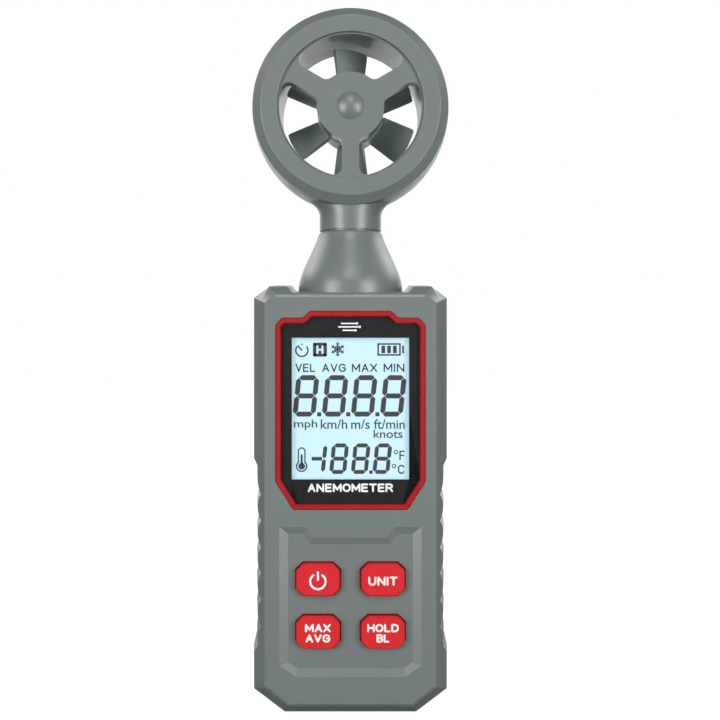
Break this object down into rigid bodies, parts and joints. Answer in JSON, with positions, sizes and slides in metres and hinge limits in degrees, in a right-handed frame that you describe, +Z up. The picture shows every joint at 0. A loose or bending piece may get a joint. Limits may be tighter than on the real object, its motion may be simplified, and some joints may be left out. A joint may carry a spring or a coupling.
{
  "type": "vane anemometer",
  "caption": "Hand-held wind speed meter: a ring-shrouded vane wheel on a swivelling neck above a slim case with a display and four keys.",
  "frame": {"origin": "centre of the flat base, on the head's swivel axis", "axes": "+Z up along the case and the swivel axis, -Y out of the display, +X to the reader's right"},
  "size_m": [0.0566, 0.0332, 0.1999],
  "materials": {
    "case_grey": "fine satin texture",
    "bezel_red": "smooth semi-gloss",
    "key_red": "smooth semi-gloss",
    "window_clear": "polished",
    "mask_black": "printed film",
    "lcd_glass": "polarised display",
    "frame_white": "plain moulded",
    "light_guide": "diffusing",
    "rubber_dark": "matt",
    "board_green": "solder resist",
    "chip_black": "moulded",
    "steel": "machined",
    "battery_jacket": "printed jacket, satin",
    "spring_steel": "nickel plated",
    "impeller_dark": "fine satin",
    "nylon": "natural",
    "lead_grey": "matt sleeve"
  },
  "bodies": {
    "handle": {"front_shell": "case_grey", "rear_shell": "case_grey", "neck_collar": "case_grey", "swivel_washer": "nylon", "bezel_frame": "bezel_red", "display_window": "window_clear", "window_mask": "mask_black", "lcd_panel": "lcd_glass", "lcd_frame": "frame_white", "backlight": "light_guide", "contact_strip": "rubber_dark", "main_board": "board_green", "controller_chip": "chip_black", "crystal": "steel", "lead_socket": "frame_white", "keypad_mat": "rubber_dark", "board_screws": "steel", "shell_screws": "steel", "battery_1": "battery_jacket", "battery_2": "battery_jacket", "battery_3": "battery_jacket", "contact_plates": "spring_steel", "contact_springs": "spring_steel", "lower_lead": "lead_grey"},
    "head": {"ring_front": "case_grey", "ring_rear": "case_grey", "front_spider": "case_grey", "front_bearing": "steel", "rear_bearing": "steel", "hall_board": "board_green", "hall_sensor": "chip_black", "thermistor": "chip_black", "ring_screws": "steel", "swivel_spigot": "case_grey", "swivel_clip": "steel", "upper_lead": "lead_grey"},
    "impeller": {"impeller": "impeller_dark", "impeller_shaft": "steel", "shaft_cap": "nylon", "impeller_magnets": "spring_steel"},
    "battery_door": {"battery_door": "case_grey"},
    "power_key": {"power_key": "key_red", "power_plunger": "rubber_dark"},
    "unit_key": {"unit_key": "key_red", "unit_plunger": "rubber_dark"},
    "max_avg_key": {"max_avg_key": "key_red", "max_avg_plunger": "rubber_dark"},
    "hold_key": {"hold_key": "key_red", "hold_plunger": "rubber_dark"}
  },
  "joints": [
    {"name": "head_swivel", "type": "hinge", "parent": "handle", "child": "head", "pos_m": [0, 0, 0.1371], "axis": [0, 0, 1], "range_deg": [-90, 90]},
    {"name": "impeller_spin", "type": "hinge", "parent": "head", "child": "impeller", "pos_m": [0, 0, 0.1716], "axis": [0, 1, 0], "continuous": true},
    {"name": "battery_door_slide", "type": "slide", "parent": "handle", "child": "battery_door", "axis": [0, 0, -1], "range_m": [0, 0.055]},
    {"name": "power_key_press", "type": "slide", "parent": "handle", "child": "power_key", "axis": [0, 1, 0], "range_m": [0, 0.0008], "stiffness_N_per_m": 800, "springref_m": -0.0004},
    {"name": "unit_key_press", "type": "slide", "parent": "handle", "child": "unit_key", "axis": [0, 1, 0], "range_m": [0, 0.0008], "stiffness_N_per_m": 800, "springref_m": -0.0004},
    {"name": "max_avg_key_press", "type": "slide", "parent": "handle", "child": "max_avg_key", "axis": [0, 1, 0], "range_m": [0, 0.0008], "stiffness_N_per_m": 800, "springref_m": -0.0004},
    {"name": "hold_key_press", "type": "slide", "parent": "handle", "child": "hold_key", "axis": [0, 1, 0], "range_m": [0, 0.0008], "stiffness_N_per_m": 800, "springref_m": -0.0004}
  ]
}
